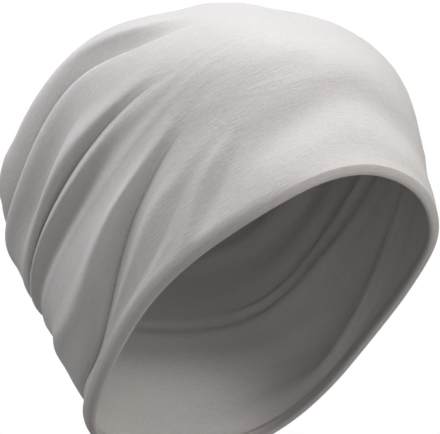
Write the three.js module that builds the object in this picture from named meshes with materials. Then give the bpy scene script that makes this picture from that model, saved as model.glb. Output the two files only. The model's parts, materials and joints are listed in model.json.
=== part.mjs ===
// Slouchy jersey sleep cap, kept in the form it takes when worn. Millimetres, +Z up.
// The origin is the crown point that sits on top of the head, the forehead is towards -Y,
// the slouch hangs towards +Y, and the wearer's right side is towards -X.

import * as THREE from "three";

// Cloth
const wall = 2.2;               // doubled jersey, measured square to the smooth form
const seamGap = 0.3;            // air between the body and its hem

// Grid of the body
const columns = 60;             // points round each ring
const fullness = 0.04;          // how much squarer than an ellipse a ring is

// Hem, the cloth rolled under at the rim
const hemHeight = 4;            // how far it runs up inside
const hemWall = 1.3;            // thickness of that part
const hemSlack = 0.7;           // how much its upper edge stands off the body
const lipDrop = 2.6;            // how far the rolled lip hangs below the body's edge
const lipReach = 4.8;           // how far the lip leans in over the skin
const hemHold = [0.04, 0.34];   // ring numbers between which the hem lets the folds start

// Folds away from the side that carries them fully
const backFadeFrom = 100;       // degrees from the front
const backFadeTo = 165;
const backLoss = 0.4;           // share of a fold's height lost at the back
const leftLoss = 0.15;          // the left side is draped a little calmer
const leftDelay = 8;            // degrees later that its folds begin
const leftFullFrom = 40;        // degrees from the front between which the left side counts fully
const leftFullTo = 130;

// How steeply a quite sharp fold line is met, as a multiple of the mean slope between two lines
const sharpSlope = 1.6;

const slopeStep = 1e-3;         // step in angle and ring number for the directions on the form
const bodyColour = 0xcfcccc;
const hemColour = 0xb7b1b0;

const table = (columnNames, rows) => {
  const names = columnNames.split(" ");
  return rows.map((row) => Object.fromEntries(names.map((name, i) => [name, row[i]])));
};

// Rings from the rim to the gathered end, each by its front, back and side points and half its width
const rings = table("frontY frontZ backY backZ sideY sideZ halfWidth", [
  [-104, -79.3, 63, -199, -4, -150, 68.5],
  [-93, -61, 79, -168, 14, -119, 73.5],
  [-85, -41, 96, -151, 26, -105, 76],
  [-71, -21, 115, -133, 35, -88, 79],
  [-46, -7, 129, -114, 53, -67, 81],
  [-11, 2, 135, -92, 73, -41, 73.5],
  [31, -1, 132, -75, 80, -27, 57.5],
  [74, -9, 125, -58, 95, -32, 35],
  [109, -34, 109, -34, 109, -34, 0],
]);

// Fold lines in order from the rim up: the ring number each follows at six angles from the front,
// its height over the smooth form, how sharp it is, the angles over which it grows, and
// the strips between it and the next line
const foldAngles = [0, 45, 65, 90, 115, 180];
const folds = table("name at0 at45 at65 at90 at115 at180 height sharp growFrom growTo strips", [
  ["rim", 0, 0, 0, 0, 0, 0, 0, 0, 40, 60, 1],
  ["temple hollow", 0.6, 0.55, 0.3, 0.06, 0.03, 0.04, -0.5, 0, 30, 50, 1],
  ["tail crease", 0.95, 0.92, 0.64, 0.14, 0.06, 0.09, -0.6, 0.4, 44, 60, 2],
  ["tail crest", 1.12, 1.06, 0.82, 0.24, 0.12, 0.15, 1.8, 0.4, 42, 60, 2],
  ["tail shoulder", 1.8, 1.7, 1.32, 0.5, 0.24, 0.27, 1, 0.3, 42, 62, 2],
  ["deep crease", 2.3, 2.18, 1.62, 0.67, 0.37, 0.4, -4.2, 0.8, 42, 64, 3],
  ["deep crest", 2.7, 2.5, 1.9, 1.04, 0.8, 0.8, 4.2, 0.45, 40, 64, 3],
  ["broad roll", 3, 2.86, 2.6, 2.16, 1.95, 1.8, 1, 0, 46, 80, 2],
  ["broad hollow", 3.24, 3.12, 3.02, 2.82, 2.55, 2.4, -1.8, 0, 46, 76, 3],
  ["lower middle crest", 3.4, 3.28, 3.2, 3.09, 2.76, 2.75, 3, 0.45, 50, 74, 2],
  ["middle crease", 3.54, 3.42, 3.41, 3.3, 3, 2.98, -3.2, 0.8, 50, 74, 3],
  ["upper middle crest", 3.74, 3.62, 3.7, 3.56, 3.3, 3.3, 3.2, 0.45, 46, 72, 2],
  ["upper hollow", 4, 3.9, 4.06, 3.92, 3.66, 3.66, -1, 0, 46, 80, 3],
  ["lower crown crest", 4.2, 4.2, 4.36, 4.12, 3.88, 3.9, 1.8, 0.4, 25, 58, 2],
  ["crown crease", 4.4, 4.45, 4.78, 4.64, 4.34, 4.2, -3.8, 0.8, 20, 58, 3],
  ["upper crown crest", 4.62, 4.72, 5, 4.84, 4.54, 4.5, 2.6, 0.1, 20, 60, 4],
  ["crown", 5.8, 5.8, 5.8, 5.8, 5.6, 5.6, 0, 0, 30, 60, 5],
  ["gathered end", 8, 8, 8, 8, 8, 8, 0, 0, 30, 60, 0],
]);

// Cubic spline through (xs, ys), with free ends or with level ends
function spline(xs, ys, levelEnds) {
  const n = xs.length;
  const gap = xs.slice(1).map((x, i) => x - xs[i]);
  const rise = ys.slice(1).map((y, i) => (y - ys[i]) / gap[i]);
  const lower = new Array(n).fill(0);
  const middle = new Array(n).fill(1);
  const upper = new Array(n).fill(0);
  const right = new Array(n).fill(0);
  for (let i = 1; i < n - 1; i++) {
    lower[i] = gap[i - 1];
    middle[i] = 2 * (gap[i - 1] + gap[i]);
    upper[i] = gap[i];
    right[i] = 6 * (rise[i] - rise[i - 1]);
  }
  if (levelEnds) {
    middle[0] = 2 * gap[0];
    upper[0] = gap[0];
    right[0] = 6 * rise[0];
    lower[n - 1] = gap[n - 2];
    middle[n - 1] = 2 * gap[n - 2];
    right[n - 1] = -6 * rise[n - 2];
  }
  for (let i = 1; i < n; i++) {
    const share = lower[i] / middle[i - 1];
    middle[i] -= share * upper[i - 1];
    right[i] -= share * right[i - 1];
  }
  const bend = new Array(n).fill(0);
  for (let i = n - 1; i >= 0; i--) {
    bend[i] = (right[i] - (i < n - 1 ? upper[i] * bend[i + 1] : 0)) / middle[i];
  }
  return (x) => {
    let i = 0;
    while (i < n - 2 && x > xs[i + 1]) i++;
    const a = (xs[i + 1] - x) / gap[i];
    const b = 1 - a;
    const sag = ((a ** 3 - a) * bend[i] + (b ** 3 - b) * bend[i + 1]) * (gap[i] ** 2 / 6);
    return a * ys[i] + b * ys[i + 1] + sag;
  };
}

// The rings are run through by splines that go on past the gathered end and down the other side,
// so that the form is smooth there
const endRow = rings.length - 1;
const rowNumbers = Array.from({ length: 2 * endRow + 1 }, (_, i) => i);
const past = (first, second, sign = 1) => spline(
  rowNumbers,
  rowNumbers.map((i) => (i <= endRow ? rings[i][first] : sign * rings[2 * endRow - i][second])),
  false,
);
const profileY = past("frontY", "backY");
const profileZ = past("frontZ", "backZ");
const sideY = past("sideY", "sideY");
const sideZ = past("sideZ", "sideZ");
const halfWidth = past("halfWidth", "halfWidth", -1);

const radians = (degrees) => (degrees * Math.PI) / 180;

// Smooth form: a ring leans from its front point to its back point and bows to its side point,
// and angle 0 is the front, with + angles towards the wearer's right
function smoothForm(angle, row) {
  const front = [profileY(row), profileZ(row)];
  const back = [profileY(2 * endRow - row), profileZ(2 * endRow - row)];
  const side = [sideY(row), sideZ(row)];
  const along = (1 + fullness) * Math.cos(angle) - fullness * Math.cos(3 * angle);
  const across = (1 + fullness) * Math.sin(angle) + fullness * Math.sin(3 * angle);
  const bow = Math.sin(angle) ** 2;
  const [y, z] = [0, 1].map((k) => {
    const middle = (front[k] + back[k]) / 2;
    return middle + ((front[k] - back[k]) / 2) * along + (side[k] - middle) * bow;
  });
  return new THREE.Vector3(-halfWidth(row) * across, y, z);
}

// Unit direction square to the smooth form, and the one that runs down it towards the rim
function frameAt(angle, row) {
  const up = smoothForm(angle, row + slopeStep).sub(smoothForm(angle, row - slopeStep)).normalize();
  const round = smoothForm(angle + slopeStep, row).sub(smoothForm(angle - slopeStep, row)).normalize();
  return { out: new THREE.Vector3().crossVectors(up, round).normalize(), down: up.negate() };
}

const ease = (from, to, x) => THREE.MathUtils.smoothstep(x, from, to);
const foldRows = folds.map((fold) => spline(foldAngles, foldAngles.map((a) => fold["at" + a]), true));

function foldHeight(fold, degrees) {
  const turn = Math.abs(degrees);
  const leftShare = degrees < 0 ? ease(0, leftFullFrom, turn) * (1 - ease(leftFullTo, 180, turn)) : 0;
  const grown = ease(fold.growFrom, fold.growTo, turn - leftDelay * leftShare);
  const backShare = 1 - backLoss * ease(backFadeFrom, backFadeTo, turn);
  return fold.height * grown * backShare * (1 - leftLoss * leftShare);
}

// From one fold line to the next, part 0 to 1: level at a soft line, steep at a sharp one
function climb(part, sharpFrom, sharpTo) {
  const slopeFrom = sharpSlope * sharpFrom;
  const slopeTo = sharpSlope * sharpTo;
  const level = part * part * (3 - 2 * part);
  const start = part * (1 - part) ** 2;
  const end = part * part * (part - 1);
  return level + slopeFrom * start + slopeTo * end;
}

// One column of the body: ring number and height at every strip edge, from the rim to the gathered end
function columnAt(degrees) {
  const points = [];
  for (let i = 0; i < folds.length - 1; i++) {
    const [line, next] = [folds[i], folds[i + 1]];
    const rowFrom = foldRows[i](Math.abs(degrees));
    const rowTo = foldRows[i + 1](Math.abs(degrees));
    const heightFrom = foldHeight(line, degrees);
    const heightTo = foldHeight(next, degrees);
    for (let j = 0; j < line.strips; j++) {
      const part = j / line.strips;
      const row = rowFrom + (rowTo - rowFrom) * part;
      const height = heightFrom + (heightTo - heightFrom) * climb(part, line.sharp, next.sharp);
      points.push({ row, height: height * ease(...hemHold, row) });
    }
  }
  return points;
}

// Closed skin from loops of equal length that follow one another, joined in a ring when looped is true
function skinOf(loops, looped, tips = {}) {
  const positions = loops.flat().flatMap((p) => [p.x, p.y, p.z]);
  const count = loops[0].length;
  const faces = [];
  const last = looped ? loops.length : loops.length - 1;
  for (let i = 0; i < last; i++) {
    const next = (i + 1) % loops.length;
    for (let j = 0; j < count; j++) {
      const a = i * count + j;
      const b = i * count + ((j + 1) % count);
      const c = next * count + ((j + 1) % count);
      const d = next * count + j;
      faces.push(a, c, b, a, d, c);
    }
  }
  for (const [end, tip] of Object.entries(tips)) {
    const tipIndex = positions.length / 3;
    positions.push(tip.x, tip.y, tip.z);
    const first = end === "start" ? 0 : (loops.length - 1) * count;
    for (let j = 0; j < count; j++) {
      const a = first + j;
      const b = first + ((j + 1) % count);
      faces.push(...(end === "start" ? [a, b, tipIndex] : [b, a, tipIndex]));
    }
  }
  const geometry = new THREE.BufferGeometry();
  geometry.setAttribute("position", new THREE.Float32BufferAttribute(positions, 3));
  geometry.setIndex(faces);
  geometry.computeVertexNormals();
  return geometry;
}

function jerseyPiece(name, geometry, colour) {
  const material = new THREE.MeshStandardMaterial({ color: colour, roughness: 0.95, metalness: 0 });
  const mesh = new THREE.Mesh(geometry, material);
  mesh.name = name;
  return mesh;
}

const angles = Array.from({ length: columns }, (_, i) => -180 + (360 * i) / columns);

// Body: loops down the inside from the gathered end to the rim, then up the outside
function bodyGeometry() {
  const bodyColumns = angles.map(columnAt);
  const loopAt = (index, lift) => angles.map((degrees, i) => {
    const { row, height } = bodyColumns[i][index];
    const angle = radians(degrees);
    return smoothForm(angle, row).addScaledVector(frameAt(angle, row).out, height + lift);
  });
  const strips = bodyColumns[0].length;
  const outside = Array.from({ length: strips }, (_, i) => loopAt(i, 0));
  const inside = Array.from({ length: strips }, (_, i) => loopAt(strips - 1 - i, -wall));
  const end = smoothForm(0, endRow);
  const endOut = frameAt(0, endRow - 2 * slopeStep).out;
  return skinOf([...inside, ...outside], false, {
    start: end.clone().addScaledVector(endOut, -wall),
    end,
  });
}

// Hem: one closed section carried round the rim, its lip rolled under the body's edge;
// across is measured inwards from the body's outside, and down below the body's edge
const hemSection = table("across down", [
  [wall + seamGap, seamGap],
  [wall + seamGap + hemSlack, -hemHeight],
  [wall + seamGap + hemSlack + hemWall, -hemHeight],
  [lipReach, 0.3 * lipDrop],
  [0.95 * lipReach, lipDrop],
  [0.6 * lipReach, lipDrop],
  [0.5, 0.45 * lipDrop],
  [0, seamGap],
]);

function hemGeometry() {
  const edge = angles.map((degrees) => {
    const angle = radians(degrees);
    return { angle, at: smoothForm(angle, 0), ...frameAt(angle, 0) };
  });
  const loops = hemSection.map((point) => edge.map(({ at, out, down }) => (
    at.clone().addScaledVector(out, -point.across).addScaledVector(down, point.down)
  )));
  return skinOf(loops, true);
}

const sleepCap = new THREE.Group();
sleepCap.add(jerseyPiece("cap_body", bodyGeometry(), bodyColour));
sleepCap.add(jerseyPiece("turned_hem", hemGeometry(), hemColour));

export default sleepCap;
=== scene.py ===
import json
import math
import bpy
import numpy as np
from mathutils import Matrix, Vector

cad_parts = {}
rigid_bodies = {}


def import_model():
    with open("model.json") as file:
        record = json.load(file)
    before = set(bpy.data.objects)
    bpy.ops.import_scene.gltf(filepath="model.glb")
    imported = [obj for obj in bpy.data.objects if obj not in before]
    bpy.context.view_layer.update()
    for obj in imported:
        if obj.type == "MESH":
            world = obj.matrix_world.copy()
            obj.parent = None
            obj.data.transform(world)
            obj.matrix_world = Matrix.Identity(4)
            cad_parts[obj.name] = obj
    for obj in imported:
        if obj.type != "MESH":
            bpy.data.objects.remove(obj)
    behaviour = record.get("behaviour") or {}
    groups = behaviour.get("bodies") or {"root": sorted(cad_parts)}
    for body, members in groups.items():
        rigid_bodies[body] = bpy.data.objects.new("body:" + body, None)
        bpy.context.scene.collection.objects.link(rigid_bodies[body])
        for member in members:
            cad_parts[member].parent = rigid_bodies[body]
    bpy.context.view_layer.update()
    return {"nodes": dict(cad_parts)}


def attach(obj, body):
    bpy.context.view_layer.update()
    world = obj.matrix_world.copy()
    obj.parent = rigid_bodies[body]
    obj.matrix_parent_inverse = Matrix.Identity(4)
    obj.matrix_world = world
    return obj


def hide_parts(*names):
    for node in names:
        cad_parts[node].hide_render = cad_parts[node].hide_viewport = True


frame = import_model()
print("frame loaded:", sorted(frame["nodes"]))

# Lengths below are millimetres until a mesh is made; +Z is up and the forehead is towards -Y. Angles
# start at the forehead, 0, and grow over the wearer's right, on -X, to the back, 180
millimetre = 0.001      # in metres


# Curves

# Cubic spline through (xs, ys), one curve for each row of ys: the bends at the knots solve the usual
# tridiagonal system, with free ends or with level ends
def splineThrough(xs, ys, levelEnds=False):
    xs = np.asarray(xs, float)
    ys = np.atleast_2d(np.asarray(ys, float))
    count = len(xs)
    gap = np.diff(xs)
    rise = np.diff(ys, axis=1) / gap
    matrix = np.eye(count)
    right = np.zeros((count, len(ys)))
    for i in range(1, count - 1):
        matrix[i, i - 1:i + 2] = gap[i - 1], 2 * (gap[i - 1] + gap[i]), gap[i]
        right[i] = 6 * (rise[:, i] - rise[:, i - 1])
    if levelEnds:
        matrix[0, :2] = 2 * gap[0], gap[0]
        matrix[-1, -2:] = gap[-1], 2 * gap[-1]
        right[0] = 6 * rise[:, 0]
        right[-1] = -6 * rise[:, -1]
    bend = np.linalg.solve(matrix, right).T

    # Between two knots, with shares a and b: a y0 + b y1 + ((a^3 - a) bend0 + (b^3 - b) bend1) gap^2 / 6
    def at(x):
        x = np.asarray(x, float)
        i = np.clip(np.searchsorted(xs, x) - 1, 0, count - 2)
        a = (xs[i + 1] - x) / gap[i]
        b = 1 - a
        sag = ((a ** 3 - a) * bend[:, i] + (b ** 3 - b) * bend[:, i + 1]) * gap[i] ** 2 / 6
        return a * ys[:, i] + b * ys[:, i + 1] + sag

    return at


# 0 before start, 1 after end, and 3t^2 - 2t^3 between
def ease(start, end, x):
    t = np.clip((x - start) / (end - start), 0, 1)
    return t * t * (3 - 2 * t)


# Vectors divided by their lengths, where a length counts as 1e-9 at least
def unit(vectors):
    return vectors / np.maximum(np.linalg.norm(vectors, axis=-1, keepdims=True), 1e-9)


# Smooth form of the cap

form = {
    "fullness": 0.04,   # how much squarer than an ellipse a ring is
    "step": 1e-3,       # radians and rings over which directions are measured
    "endGap": 0.002,    # rings before the gathered end at which its direction is taken
    # rings from the rim to the gathered end: front y z, back y z, side y z, half width
    "rings": [
        (-104, -79.3, 74, -203, -2, -149, 67.5),
        (-93, -61, 79, -168, 14, -119, 74.5),
        (-85, -41, 96, -151, 26, -105, 76),
        (-71, -21, 115, -133, 35, -88, 79),
        (-46, -7, 129, -114, 53, -67, 81),
        (-11, 2, 135, -92, 73, -41, 73.5),
        (31, -1, 132, -75, 80, -27, 57.5),
        (74, -9, 125, -58, 95, -32, 35),
        (109, -34, 109, -34, 109, -34, 0),
    ],
}
ringTable = np.array(form["rings"], float)
endRow = len(ringTable) - 1


# A ring measure as a curve that goes on past the gathered end and down the other side: the spline
# through the first column read forwards, then the second, times sign, read backwards
def pastTheEnd(first, second, sign=1):
    values = np.concatenate([ringTable[:, first], sign * ringTable[-2::-1, second]])
    curve = splineThrough(np.arange(2 * endRow + 1), values)
    return lambda row: curve(row)[0]


profileY, profileZ = pastTheEnd(0, 2), pastTheEnd(1, 3)
sideY, sideZ, halfWidth = pastTheEnd(4, 4), pastTheEnd(5, 5), pastTheEnd(6, 6, -1)


# Point of the smooth form: along = (1+f) cos a - f cos 3a, across = (1+f) sin a + f sin 3a, and the
# side point pulls the ring off its front to back line by sin^2 a
def smoothForm(angle, row):
    f = form["fullness"]
    along = (1 + f) * np.cos(angle) - f * np.cos(3 * angle)
    across = (1 + f) * np.sin(angle) + f * np.sin(3 * angle)
    bow = np.sin(angle) ** 2
    point = [-halfWidth(row) * across]
    for profile, side in ((profileY, sideY), (profileZ, sideZ)):
        front, back = profile(row), profile(2 * endRow - row)
        middle = (front + back) / 2
        point.append(middle + (front - back) / 2 * along + (side(row) - middle) * bow)
    return np.stack(point, axis=-1)


# Directions on the smooth form: up, from the rim to the gathered end, and onward, round the ring, are
# differences over a small step, and out is their cross product
def directions(angle, row):
    step = form["step"]
    up = unit(smoothForm(angle, row + step) - smoothForm(angle, row - step))
    onward = unit(smoothForm(angle + step, row) - smoothForm(angle - step, row))
    return unit(np.cross(up, onward)), up


# Folds of the cloth

drape = {
    "columns": 360,             # points round the cap
    "insideShare": 4,           # outside strips for each strip inside, which has 2 between lines at least
    "edgePlaces": (0.008, 0.016),   # two more loops close to the rim's edge
    "cutEdge": 0.06,            # share of the wall at which the loop on the cut edge lies
    "lipWidth": 0.2,            # half width of a crest's lip, in rings
    "wall": 2.2,                # doubled jersey
    "hemHold": (0.8, 7),        # heights above the rim between which the folds grow
    "keenAngles": (36, 84),     # angles between which the lines become sharp
    "leftDelay": 7,             # degrees later that the folds of the left side begin
    "leftLoss": 0.18,           # share of their height that they lose there
    "leftGrowth": (0, 40),      # angles between which both of these grow
    "leftFading": (130, 180),   # and fade again
    "lean": 0.4,                # share of a fold's height by which its crest hangs towards the rim
    "rimStep": 0.05,            # rings above the rim over which its cloth is measured
    "ridgeFade": 0.3,           # share of its angles over which a soft ridge fades at each end
    "angles": [0, 32, 48, 64, 80, 100, 120, 180],
    # name, ring number at each angle, height at each angle, sharpness below and above the line,
    # height of the narrow lip along a crest, strips of faces to the next line
    "lines": [
        ("rim", [.02, -.18, -.16, -.055, .005, -.025, -.02, .02],
         [0] * 8, 0, 0, 0, 14),
        ("temple hollow", [.56, .5, .42, .24, .1, .03, .02, .05],
         [0, -.4, -.9, -1, -.9, -.5, -.3, 0], 0, 0, 0, 6),
        ("tail crease", [1.6, 1.5, 1.04, .46, .2, .06, .04, .07],
         [0, 0, -.5, -1.4, -1.7, -.9, -.6, 0], .2, .3, 0, 7),
        ("tail crest", [1.96, 1.9, 1.36, .75, .38, .09, .07, .09],
         [0, 0, .1, -.4, -1.3, -1, -.7, 0], 0, 0, 0, 8),
        ("tail shoulder", [2.15, 2.1, 1.7, 1.12, .58, .16, .12, .14],
         [0, 0, -.1, -1.3, -3, -3, -2.2, -.2], 0, 0, 0, 11),
        ("deep crease", [2.28, 2.26, 2.1, 1.5, .84, .25, .29, .3],
         [0, 0, 0, -3, -6, -6, -4.2, -1], .7, 1, 0, 18),
        ("deep crest", [2.76, 2.74, 2.46, 1.91, 1.21, .78, .94, .9],
         [0, 0, .1, 2, 3.9, 4, 2.6, .6], 0, 0, 3.1, 14),
        ("broad roll", [3, 2.96, 2.76, 2.54, 2.26, 1.96, 1.84, 1.8],
         [0, 0, 0, .4, 1.4, 2.2, 1.8, .6], 0, 0, 0, 12),
        ("broad hollow", [3.24, 3.16, 2.96, 2.9, 2.76, 2.54, 2.36, 2.26],
         [0, 0, 0, -.6, -2, -2.8, -1.6, -.4], 0, 0, 0, 12),
        ("lower middle crest", [3.42, 3.34, 3.2, 3.17, 3.05, 2.85, 2.61, 2.52],
         [0, 0, .03, .3, 1.6, 1.8, 1, .4], 0, 0, 2.6, 12),
        ("middle crease", [3.5, 3.44, 3.35, 3.36, 3.3, 3.04, 2.78, 2.7],
         [0, 0, -.2, -1.9, -3.7, -3.6, -1.2, -.2], .7, 1, 0, 14),
        ("upper middle crest", [3.7, 3.66, 3.56, 3.56, 3.53, 3.22, 2.99, 3],
         [0, 0, .05, .7, 1.6, 1.6, 1, .4], 0, 0, 2.6, 11),
        ("upper hollow", [4, 3.94, 3.9, 3.9, 3.8, 3.48, 3.3, 3.4],
         [0, 0, 0, .2, -.8, -2, .2, .4], .3, 0, 0, 11),
        ("lower crown crest", [4.22, 4.18, 4.23, 4.41, 4.3, 3.98, 3.87, 3.85],
         [0, 0, 0, .6, 1.4, 1.8, 1.4, .6], 0, 0, 2, 12),
        ("crown crease", [4.33, 4.28, 4.4, 4.64, 4.6, 4.31, 4.22, 4.16],
         [0, -1.4, -4.4, -5.4, -5.2, -4.8, -3, -1.6], .7, .9, 0, 15),
        ("upper crown crest", [4.62, 4.6, 4.8, 5.06, 5, 4.76, 4.62, 4.56],
         [0, .4, 1.6, 1.8, 2.2, 2.4, 2.2, 1.2], 0, 0, .4, 15),
        ("crown", [5.8, 5.8, 5.8, 5.8, 5.8, 5.7, 5.6, 5.6],
         [0] * 8, 0, 0, 0, 20),
        ("gathered end", [8] * 8,
         [0] * 8, 0, 0, 0, 0),
    ],
    # soft single wrinkles, also where no fold line runs: angles, ring numbers there, height, half width
    "wrinkles": [
        ("brow valley", (-32, -14, 3, 16, 30, 44), (.7, 1.4, 1.74, 1.4, .92, .5), -1.9, .42),
        ("brow band", (-30, -12, 6, 18, 30), (.2, .6, .86, .6, .3), 1.2, .4),
        ("brow flat", (-36, -20, 0, 14), (2.8, 3.2, 3.5, 3.7), -2.6, .7),
        ("crown bump", (4, 12, 19, 25), (4.84, 4.88, 4.92, 4.9), 2.2, .24),
        ("temple ridge", (40, 46, 53, 58, 62), (1.15, .88, .55, .26, .1), 1.2, .15),
        ("temple groove", (36, 42, 49, 55), (1.25, .8, .36, .14), -1.1, .18),
        ("ear ridge", (60, 70, 80, 92), (1.0, .72, .46, .16), 1.2, .14),
        ("bag lobe", (104, 111, 118), (4.86, 4.76, 4.6), 1.8, .16),
        ("left temple ridge", (-66, -57, -48, -40), (.15, .45, .8, 1.15), .9, .14),
        ("left temple groove", (-60, -50, -42), (.2, .62, 1.05), -.8, .14),
        ("left ear fold", (-96, -84, -72), (.3, .62, 1.02), .8, .16),
    ],
    # broad swellings that reach the rim: the same columns
    "swells": [
        ("left temple", (-86, -70, -56, -44), (-.1, -.1, -.1, -.1), 1.6, .8),
        ("left brow", (-78, -62, -46, -30), (2.4, 2.4, 2.4, 2.4), 1.2, .9),
        ("temple fullness", (12, 36, 60, 80, 96), (-.3, -.3, -.3, -.3, -.3), 3.6, 1.1),
    ],
    # the finest wrinkles, a sum of waves
    "seed": 7,
    "flutter": 0.16,            # their height
    "waves": 14,
    "waveTurns": (2, 12),       # whole turns round the cap, from the first to below the second
    "waveRates": (1.4, 5.2),    # radians from one fold line to the next
    "calm": 0.25,               # share of their height on the forehead
    "calmAngles": (44, 76),     # angles between which it grows to the whole
    "waveEnd": (2.2, 1.1),      # where they die away, in places back from the number of lines
}
# The hem's settings stand here because the body's edge follows its curl
hem = {
    "gap": 0.06,                # between it and the body's wall
    "height": 4.0,              # how far it runs up inside
    "wall": 1.3,                # its thickness
    "slack": 0.7,               # how far its upper edge stands off the body's wall
    "drop": 2.6,                # how far the roll hangs below the body's edge
    "reach": 4.8,               # how far the roll reaches inwards
    "curl": 0.8,                # how far the body's edge turns in where the rim is soft
    "curlHeight": 3.6,          # height over which it does
    "softRight": (12, 46),      # angles between which the rim becomes soft on the wearer's right
    "softLeft": (75, 120),      # and on the left
    "sectionPoints": 38,        # points evenly along a section's knots
    "endSteps": (0.04, 0.1),    # how close to its first and last knot two more points lie, in knots
}
lineCount = len(drape["lines"])
lineRows = splineThrough(drape["angles"], [line[1] for line in drape["lines"]], True)
lineHeights = splineThrough(drape["angles"], [line[2] for line in drape["lines"]], True)
sharpBelow = np.array([line[3] for line in drape["lines"]])
sharpAbove = np.array([line[4] for line in drape["lines"]])
lips = np.array([line[5] for line in drape["lines"]])


# How soft the rim's outer edge is, from 0, crisp across the forehead, to 1, round over the ears and
# nape: a smooth step of the angle on each side
def softRim(degrees):
    return np.where(degrees > 0, ease(*hem["softRight"], degrees), ease(*hem["softLeft"], -degrees))


# From one fold line to the next, part 0 to 1: a smooth step 3t^2 - 2t^3, which a sharp line turns
# towards a quarter of an ellipse that stands steep at that line and is level at the other
def climb(part, sharpFrom, sharpTo):
    level = part * part * (3 - 2 * part)
    fromSteep = np.sqrt(1 - (1 - part) ** 2)
    toSteep = 1 - np.sqrt(1 - part ** 2)
    return level + sharpFrom * (fromSteep - level) + sharpTo * (toSteep - level)


# Height of the finest wrinkles: the sum of cos(turns a + rate place + phase), over the root of half
# the number of waves. Whole turns let them meet at the back, and they follow the fold lines; they are
# calmer on the forehead and die away at the gathered end
def flutterAt(degrees, place):
    random = np.random.default_rng(drape["seed"])
    total = np.zeros_like(place)
    for _ in range(drape["waves"]):
        turns = random.integers(*drape["waveTurns"])
        rate = random.uniform(*drape["waveRates"])
        phase = random.uniform(0, 2 * math.pi)
        total += np.cos(turns * np.radians(degrees) + rate * place + phase)
    calm = drape["calm"] + (1 - drape["calm"]) * ease(*drape["calmAngles"], np.abs(degrees))
    start, end = drape["waveEnd"]
    fade = 1 - ease(lineCount - start, lineCount - end, place)
    return drape["flutter"] * total / math.sqrt(drape["waves"] / 2) * calm * fade


# A soft wrinkle is a ridge exp(-d^2), with d the distance from its own line in half widths, fading in
# and out over its angles by a smooth step
def ridgesAt(ridges, degrees, row):
    total = np.zeros_like(row)
    for _, angles, rows, height, halfWide in ridges:
        path = splineThrough(angles, rows)(np.clip(degrees, angles[0], angles[-1]))[0]
        reach = (angles[-1] - angles[0]) * drape["ridgeFade"]
        window = ease(angles[0] - reach, angles[0] + reach, degrees)
        window = window * (1 - ease(angles[-1] - reach, angles[-1] + reach, degrees))
        total += height * window * np.exp(-((row - path) / halfWide) ** 2)
    return total


# Millimetres of cloth to a ring number just above the rim: the distance over a small step, divided
# by that step
def rimScale(degrees):
    a, row = np.radians(degrees), lineRows(np.abs(degrees))[0]
    step = drape["rimStep"]
    return np.linalg.norm(smoothForm(a, row + step) - smoothForm(a, row), axis=-1) / step


# Ring number and height for every column and every place in the list, where place 3.5 is halfway
# between fold lines 3 and 4. The height is the climb from line to line, plus a lip exp(-d^2) on each
# crest, the wrinkles and the finest waves, held flat near the rim; what the hold leaves alone comes
# last, the swells less the curl
def drapedGrid(degrees, places):
    turn = np.abs(degrees)
    grown, faded = ease(*drape["leftGrowth"], turn), ease(*drape["leftFading"], turn)
    left = np.where(degrees < 0, grown * (1 - faded), 0)
    turnOfHeights = np.clip(turn - drape["leftDelay"] * left, 0, 180)
    rows, heights = lineRows(turn), lineHeights(turnOfHeights)
    heights = heights * (1 - drape["leftLoss"] * left)
    line = np.minimum(places.astype(int), lineCount - 2)
    part = (places - line)[:, None]
    row = rows[line] + (rows[line + 1] - rows[line]) * part
    keen = ease(*drape["keenAngles"], turn)
    rise = climb(part, sharpAbove[line][:, None] * keen, sharpBelow[line + 1][:, None] * keen)
    height = heights[line] + (heights[line + 1] - heights[line]) * rise
    for crest in np.flatnonzero(lips):
        lip = lips[crest] * np.clip(heights[crest] / np.max(heights[crest]), 0, 1)
        height = height + lip * np.exp(-((row - rows[crest]) / drape["lipWidth"]) ** 2)
    degreesGrid, placesGrid = np.broadcast_arrays(degrees, places[:, None])
    height = height + ridgesAt(drape["wrinkles"], degreesGrid, row)
    height = height + flutterAt(degreesGrid, placesGrid)
    aboveRim = (row - rows[0]) * rimScale(degrees)
    free = ease(*drape["hemHold"], aboveRim)
    inward = np.clip(1 - aboveRim / hem["curlHeight"], 0, 1) ** 2
    steady = ridgesAt(drape["swells"], degreesGrid, row) - hem["curl"] * softRim(degreesGrid) * inward
    return row, height * free, free, steady


# Meshes

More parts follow.
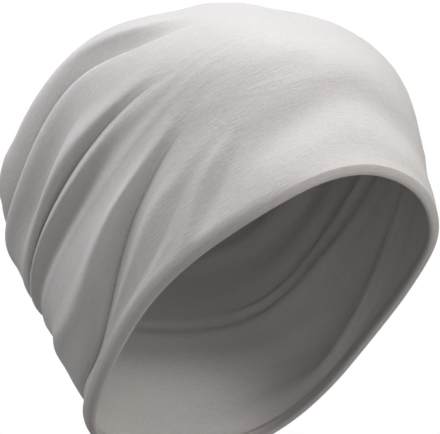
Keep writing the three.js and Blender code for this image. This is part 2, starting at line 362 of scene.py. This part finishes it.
# Closed skin from loops of equal length, with a tip at each end or joined in a ring; cloth holds the
# knit's coordinates of every point, with one more column than the loops, for the last face of a ring
def skinOf(name, loops, cloth, tips=None):
    loops = np.asarray(loops)
    rings, count = loops.shape[:2]
    index = np.arange(rings * count).reshape(rings, count)
    low = index if tips is None else index[:-1]
    high = np.roll(index, -1, axis=0) if tips is None else index[1:]
    quads = np.stack([low, np.roll(low, -1, axis=1), np.roll(high, -1, axis=1), high], axis=-1)
    faces = quads.reshape(-1, 4)[:, ::-1].tolist()
    clothLow = cloth if tips is None else cloth[:-1]
    clothHigh = np.roll(cloth, -1, axis=0) if tips is None else cloth[1:]
    corners = np.stack([clothLow[:, :-1], clothLow[:, 1:], clothHigh[:, 1:], clothHigh[:, :-1]], axis=2)
    corners = [corners.reshape(-1, 4, 2)[:, ::-1].reshape(-1, 2)]
    points = loops.reshape(-1, 3)
    if tips is not None:
        start, end = len(points), len(points) + 1
        first, last = index[0], index[-1]
        faces += np.stack([first, np.roll(first, -1), np.full(count, start)], axis=1).tolist()
        faces += np.stack([np.roll(last, -1), last, np.full(count, end)], axis=1).tolist()
        corners.append(np.stack([cloth[0, :-1], cloth[0, 1:], cloth[0, :-1]], axis=1).reshape(-1, 2))
        corners.append(np.stack([cloth[-1, 1:], cloth[-1, :-1], cloth[-1, :-1]], axis=1).reshape(-1, 2))
        points = np.concatenate([points, np.asarray(tips)])
    mesh = bpy.data.meshes.new(name)
    mesh.from_pydata((points * millimetre).tolist(), [], faces)
    mesh.update()
    mesh.polygons.foreach_set("use_smooth", np.ones(len(mesh.polygons), bool))
    mesh.uv_layers.new(name="knit").data.foreach_set("uv", np.concatenate(corners).ravel())
    piece = bpy.data.objects.new(name, mesh)
    bpy.context.scene.collection.objects.link(piece)
    return piece


# Knit coordinates in millimetres of cloth: u is the distance round the loop from its front, v the
# distance up the column from the rim
def clothOf(loops, fromFirst=True):
    around = np.concatenate([loops, loops[:, :1]], axis=1)
    step = np.linalg.norm(np.diff(around, axis=1), axis=-1)
    u = np.concatenate([np.zeros((len(loops), 1)), np.cumsum(step, axis=1)], axis=1)
    u = u - u[:, loops.shape[1] // 2][:, None]
    rise = np.linalg.norm(np.diff(around, axis=0), axis=-1)
    v = np.concatenate([np.zeros((1, around.shape[1])), np.cumsum(rise, axis=0)], axis=0)
    return np.stack([u, v if fromFirst else v[-1] - v], axis=-1)


degrees = -180 + 360 * np.arange(drape["columns"]) / drape["columns"]
angle = np.radians(degrees)


# Places of the loops of points, closer near each line: from one to the next, the mean of an even share
# and 0.5 - 0.5 cos(pi share)
def placesOf(stripsOf):
    places = []
    for i, line in enumerate(drape["lines"][:-1]):
        strips = stripsOf(line[6])
        share = np.arange(strips) / strips
        places.append(i + (share + (0.5 - 0.5 * np.cos(math.pi * share))) / 2)
    return np.concatenate(places)


# Points of the cloth, lifted off its draped height by lift: out by the height, and towards the rim by
# the lean, which grows with the height above the smooth form
def clothAt(places, lift):
    row, height, free, steady = drapedGrid(degrees, places)
    a = np.broadcast_to(angle, row.shape)
    out, up = directions(a, row)
    lean = drape["lean"] * np.clip(height, 0, None) * free
    return smoothForm(a, row) + out * (height + steady + lift)[..., None] - up * lean[..., None]


# Loops close to the rim's edge keep the shading of the roll apart from that of the cut edge
edgePlaces = np.array(drape["edgePlaces"])
outerPlaces = placesOf(lambda strips: strips)
outerPlaces = np.concatenate([outerPlaces[:1], edgePlaces, outerPlaces[1:]])
innerPlaces = placesOf(lambda strips: max(2, strips // drape["insideShare"]))[::-1]
innerPlaces = np.concatenate([innerPlaces[:-1], edgePlaces[:1], innerPlaces[-1:]])
outside = clothAt(outerPlaces, 0)
inside = clothAt(innerPlaces, -drape["wall"])
cutEdge = outside[:1] + (inside[-1:] - outside[:1]) * drape["cutEdge"]
endPoint = smoothForm(np.array(0.0), np.array(float(endRow)))
endOut = directions(np.array(0.0), np.array(endRow - form["endGap"]))[0]
outerCloth = clothOf(outside)
bodyCloth = np.concatenate([clothOf(inside, False), outerCloth[:1], outerCloth])
body = skinOf("cap_cloth", np.concatenate([inside, cutEdge, outside]), bodyCloth,
              [endPoint - endOut * drape["wall"], endPoint])
print("body:", len(body.data.polygons), "faces")


# Hem

# Sections of the hem, one for each column, as (across inwards, down), by a cubic spline over the knots
# below. Every knot moves inwards by its own share of the curl, and the roll's outer face sinks a
# little where the rim is soft
def hemSections():
    soft = softRim(degrees)
    back = drape["wall"] + hem["gap"]
    top = back + hem["slack"]
    curl = hem["curl"] * soft
    drop, reach, height, one = hem["drop"], hem["reach"], hem["height"], np.ones_like(soft)
    knots = [
        # up the back of the part inside
        (back + curl, hem["gap"] + 0.1 * one),
        (top - 0.3 + 0.3 * curl, -0.5 * height * one),
        (top + 0.1 * curl, -0.88 * height * one),
        # over its edge and down its inner face
        (top + 0.4 * hem["wall"] + 0.1 * curl, -height * one),
        (top + 0.9 * hem["wall"] + 0.1 * curl, -0.9 * height * one),
        (top + hem["wall"] + 0.1 + 0.2 * curl, -0.45 * height * one),
        (reach + 0.35 * curl, 0.1 * drop * one),
        # round the bottom
        (reach + 0.45 * curl, 0.62 * drop * one),
        (0.9 * reach + 0.5 * curl, 0.95 * drop * one),
        (0.72 * reach + 0.55 * curl, 1.02 * drop * one),
        # up the roll's outer face to the body's edge
        (0.5 * reach + 0.7 * curl, (0.9 + 0.05 * soft) * drop),
        (0.28 * reach + 0.85 * curl, (0.62 + 0.08 * soft) * drop),
        (0.1 * reach + 0.95 * curl, (0.3 + 0.06 * soft) * drop),
        (curl, hem["gap"] * one),
    ]
    across = splineThrough(np.arange(len(knots)), np.array([k[0] for k in knots]).T)
    down = splineThrough(np.arange(len(knots)), np.array([k[1] for k in knots]).T)
    last = len(knots) - 1
    near, far = hem["endSteps"]
    between = np.linspace(0, last, hem["sectionPoints"])[1:-1]
    steps = np.concatenate([[0, near], between, [last - far, last]])
    return across(steps).T, down(steps).T


# The hem follows the rim on the smooth form, with the swells, which reach it, but without the folds
rimRow = lineRows(np.abs(degrees))[0]
edgeOut, edgeUp = directions(angle, rimRow)
edge = smoothForm(angle, rimRow) + edgeOut * ridgesAt(drape["swells"], degrees, rimRow)[:, None]
across, down = hemSections()
hemLoops = edge - edgeOut * across[..., None] - edgeUp * down[..., None]
rolledHem = skinOf("rolled_hem", hemLoops, clothOf(hemLoops))
print("hem:", len(rolledHem.data.polygons), "faces")


# Shader maths

# A socket in a material: sums, products and so on of fields and numbers add Math nodes
class Field:
    def __init__(self, tree, socket):
        self.tree = tree
        self.socket = socket

    def maths(self, operation, *values):
        return nodeIn(self.tree, "ShaderNodeMath", {"operation": operation}, dict(enumerate(values)))[0]

    def __add__(self, other):
        return self.maths("ADD", self, other)

    def __sub__(self, other):
        return self.maths("SUBTRACT", self, other)

    def __rsub__(self, other):
        return self.maths("SUBTRACT", other, self)

    def __mul__(self, other):
        return self.maths("MULTIPLY", self, other)

    def __truediv__(self, other):
        return self.maths("DIVIDE", self, other)

    __radd__ = __add__
    __rmul__ = __mul__

    def sine(self):
        return self.maths("SINE", self)

    def absolute(self):
        return self.maths("ABSOLUTE", self)

    def fraction(self):
        return self.maths("FRACT", self)


# Any node: its type, its settings, then the values or links of its sockets; gives its outputs
def nodeIn(tree, kind, settings=None, sockets=None):
    node = tree.nodes.new(kind)
    for name, value in (settings or {}).items():
        setattr(node, name, value)
    for name, value in (sockets or {}).items():
        if isinstance(value, Field):
            tree.links.new(value.socket, node.inputs[name])
        else:
            node.inputs[name].default_value = value
    return [Field(tree, socket) for socket in node.outputs]


# Jersey

jersey = {
    "wale": 0.74,               # width of a column of stitches
    "course": 0.56,             # height of a row of stitches
    "legLean": 0.45,            # turns by which the two legs of a stitch lean away from its middle
    "legDepth": 0.34,           # share of a stitch's height that the legs change
    "stitchDepth": 0.036,
    "slubDepth": 0.2,           # fine streaks along the courses
    "rumpleDepth": 0.16,        # soft dimples of worn cloth
    "fuzzDepth": 0.03,
    "slubScale": (0.16, 1.1),   # for a millimetre, along the courses and up the wales
    "rumpleScale": 230.0,       # for a metre, as the next two
    "patchScale": 38.0,         # patches with more or fewer dimples
    "fuzzScale": 1100.0,
    "noiseRoughness": 0.55,
    "patchRumple": (0.4, 1.2),  # dimples' share where the patches' noise is 0, and its growth with it
    "bodyColour": (0.620, 0.603, 0.601),
    # the hem's colour is the body's jersey made darker and warmer: painted shade of the roll's underside,
    # which faces down
    "hemColour": (0.585, 0.564, 0.556),
    "colourSpread": 0.12,
    "fuzzShade": 1.8,           # weights in the colour, where the streaks' weight is 1
    "patchShade": 0.5,
    "roughness": 0.88,
    "sheen": 0.16,
    "sheenRoughness": 0.45,
    "specular": 0.25,
}
noiseMean = 0.5


# Noise from 0 to 1 at a vector times scale, summed over detail + 1 octaves
def noiseIn(tree, vector, scale, detail):
    sockets = {"Vector": vector, "Scale": scale, "Detail": detail, "Roughness": jersey["noiseRoughness"]}
    return nodeIn(tree, "ShaderNodeTexNoise", None, sockets)[0]


# Stitch height: a wale is a ridge 1 - side^2 across, and its legs lean both ways from the middle,
# which is a sine along the wale whose phase grows with side
def stitchHeight(u, v):
    side = ((u / jersey["wale"]).fraction() * 2 - 1).absolute()
    leg = ((v / jersey["course"] + side * jersey["legLean"]) * (2 * math.pi)).sine()
    return (1 - side * side) * (1 - jersey["legDepth"] + jersey["legDepth"] * leg)


# Jersey: the bump's height is stitches, streaks, dimples that come and go in patches, and fuzz; the
# colour is scaled by 1 + spread x the weighted sum of streaks, fuzz and patches, each less its mean
def jerseyMaterial(name, colour):
    material = bpy.data.materials.new(name)
    material.use_nodes = True
    tree = material.node_tree
    shader = tree.nodes["Principled BSDF"]
    knit = nodeIn(tree, "ShaderNodeUVMap", {"uv_map": "knit"})[0]
    u, v = nodeIn(tree, "ShaderNodeSeparateXYZ", None, {0: knit})[:2]
    place = nodeIn(tree, "ShaderNodeTexCoord")[3]       # object coordinates, metres
    along, upwards = jersey["slubScale"]
    streakAt = nodeIn(tree, "ShaderNodeCombineXYZ", None, {0: u * along, 1: v * upwards})[0]
    slub = noiseIn(tree, streakAt, scale=1.0, detail=2.0)
    rumple = noiseIn(tree, place, jersey["rumpleScale"], detail=2.0)
    patch = noiseIn(tree, place, jersey["patchScale"], detail=1.0)
    fuzz = noiseIn(tree, place, jersey["fuzzScale"], detail=1.0)
    least, growth = jersey["patchRumple"]
    height = jersey["stitchDepth"] * stitchHeight(u, v) + jersey["slubDepth"] * slub
    height = height + jersey["rumpleDepth"] * rumple * (least + growth * patch) + jersey["fuzzDepth"] * fuzz
    relief = {"Strength": 1.0, "Distance": millimetre, "Height": height}
    bump = nodeIn(tree, "ShaderNodeBump", None, relief)[0]
    tree.links.new(bump.socket, shader.inputs["Normal"])
    mix = (slub - noiseMean) + jersey["fuzzShade"] * (fuzz - noiseMean)
    shade = 1 + jersey["colourSpread"] * (mix + jersey["patchShade"] * (patch - noiseMean))
    tint = nodeIn(tree, "ShaderNodeVectorMath", {"operation": "SCALE"}, {0: colour, "Scale": shade})[0]
    tree.links.new(tint.socket, shader.inputs["Base Color"])
    shader.inputs["Roughness"].default_value = jersey["roughness"]
    shader.inputs["Sheen Weight"].default_value = jersey["sheen"]
    shader.inputs["Sheen Roughness"].default_value = jersey["sheenRoughness"]
    shader.inputs["Specular IOR Level"].default_value = jersey["specular"]
    return material


body.data.materials.append(jerseyMaterial("heather_jersey", jersey["bodyColour"]))
# The hem wears a darker, warmer copy of the body's jersey: its colour holds painted shade
rolledHem.data.materials.append(jerseyMaterial("heather_jersey_hem_painted_shade", jersey["hemColour"]))

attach(body, "root")
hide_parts("cap_body")
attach(rolledHem, "root")
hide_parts("turned_hem")
print("jersey on both pieces")


# Studio

studio = {
    "floorHeight": -1.2,        # metres, as all lengths from here on
    "floorRadius": 0.75,
    "floorSides": 96,
    "floorColour": (0.6, 0.6, 0.6, 1),
    "floorRoughness": 0.9,
    "skyHigh": 0.0,             # light from above the horizon; the softboxes give that light
    "skyLow": 0.10,             # light from below the horizon, as from a pale floor
    "skyFade": (-0.35, 0.35),   # heights of a direction between which one becomes the other
    "white": (1, 1, 1, 1),
    "boxSize": 0.9,
    "aim": (0, 0, -0.09),       # where the softboxes look
    # name, place, power, colour
    "softboxes": [
        ("overhead", (0, 0, 1.21), 14.6, (0.97, 0.99, 1)),
        ("front top", (-0.46, -0.73, 0.82), 4.2, (1, 0.98, 0.96)),
        ("left top", (-0.84, 0.39, 0.82), 5.4, (0.98, 0.95, 1)),
        ("left", (-1.1, 0.68, 0.1), 3.7, (1, 0.98, 0.96)),
        ("front", (-0.57, -1.16, -0.08), 3.2, (1, 0.95, 0.95)),
        ("right front", (0.53, -1.18, 0.03), 6.6, (1, 0.98, 0.92)),
        ("right", (1.11, -0.55, 0.29), 2.1, (1, 0.96, 0.94)),
    ],
}

# Floor: a disc far below the cap
turns = np.linspace(0, 2 * math.pi, studio["floorSides"], endpoint=False)
floorRim = np.stack([
    np.cos(turns) * studio["floorRadius"],
    np.sin(turns) * studio["floorRadius"],
    np.full_like(turns, studio["floorHeight"]),
], axis=1)
floorMesh = bpy.data.meshes.new("floor")
floorMesh.from_pydata(floorRim.tolist(), [], [list(range(studio["floorSides"]))])
floorPiece = bpy.data.objects.new("floor", floorMesh)
bpy.context.scene.collection.objects.link(floorPiece)
floorMaterial = bpy.data.materials.new("pale_floor")
floorMaterial.use_nodes = True
floorShader = floorMaterial.node_tree.nodes["Principled BSDF"]
floorShader.inputs["Base Color"].default_value = studio["floorColour"]
floorShader.inputs["Roughness"].default_value = studio["floorRoughness"]
floorMesh.materials.append(floorMaterial)

# World: a weak light from below the horizon, by a smooth step of the direction's height, and plain
# white where the camera looks; the softboxes give all other light
world = bpy.data.worlds.new("studio")
bpy.context.scene.world = world
world.use_nodes = True
tree = world.node_tree
heading = nodeIn(tree, "ShaderNodeTexCoord")[0]
level = nodeIn(tree, "ShaderNodeSeparateXYZ", None, {0: heading})[2]
low, high = studio["skyFade"]
fade = {"Value": level, "From Min": low, "From Max": high}
fade.update({"To Min": studio["skyLow"], "To Max": studio["skyHigh"]})
sky = nodeIn(tree, "ShaderNodeMapRange", {"interpolation_type": "SMOOTHSTEP"}, fade)[0]
lit = nodeIn(tree, "ShaderNodeBackground", None, {"Color": studio["white"], "Strength": sky})[0]
seen = nodeIn(tree, "ShaderNodeBackground", None, {"Color": studio["white"], "Strength": 1.0})[0]
toCamera = nodeIn(tree, "ShaderNodeLightPath")[0]
mixed = nodeIn(tree, "ShaderNodeMixShader", None, {0: toCamera, 1: lit, 2: seen})[0]
tree.links.new(mixed.socket, tree.nodes["World Output"].inputs["Surface"])


# A square lamp that looks at the middle of the cap: its -Z runs from its place to the aim
def softbox(name, place, power, colour):
    lamp = bpy.data.lights.new(name, "AREA")
    lamp.shape = "SQUARE"
    lamp.size = studio["boxSize"]
    lamp.energy = power
    lamp.color = colour
    box = bpy.data.objects.new(name, lamp)
    bpy.context.scene.collection.objects.link(box)
    box.location = place
    box.rotation_mode = "QUATERNION"
    box.rotation_quaternion = (Vector(studio["aim"]) - Vector(place)).to_track_quat("-Z", "Y")


for name, place, power, colour in studio["softboxes"]:
    softbox(name, place, power, colour)
print("studio:", len(studio["softboxes"]), "softboxes")


# Camera

viewOf = {
    "azimuth": -32,             # degrees, 0 looks along +Y
    "elevation": -5,
    "distance": 1.25,
    "target": (0, 0, -0.09),
    "pixelsPerMetre": 2160,     # at the target
    "targetPixel": (247.8, 209.0),  # where the target lies in the picture
    "frameSize": (440, 434),    # width and height of the picture
    "sensor": 36,               # millimetres
}
azimuth, elevation = math.radians(viewOf["azimuth"]), math.radians(viewOf["elevation"])
backward = Vector((math.sin(azimuth) * math.cos(elevation), -math.cos(azimuth) * math.cos(elevation),
                   math.sin(elevation)))
frameWidth, frameHeight = viewOf["frameSize"]
lens = bpy.data.cameras.new("camera")
lens.sensor_width = viewOf["sensor"]
lens.lens = viewOf["sensor"] * viewOf["pixelsPerMetre"] * viewOf["distance"] / frameWidth
lens.shift_x = (frameWidth / 2 - viewOf["targetPixel"][0]) / frameWidth
lens.shift_y = (viewOf["targetPixel"][1] - frameHeight / 2) / frameWidth
camera = bpy.data.objects.new("camera", lens)
bpy.context.scene.collection.objects.link(camera)
camera.rotation_mode = "QUATERNION"
camera.location = Vector(viewOf["target"]) + backward * viewOf["distance"]
camera.rotation_quaternion = (-backward).to_track_quat("-Z", "Y")
bpy.context.scene.camera = camera
bpy.context.scene.view_settings.view_transform = "Standard"
print("camera:", round(lens.lens, 1), "mm lens")
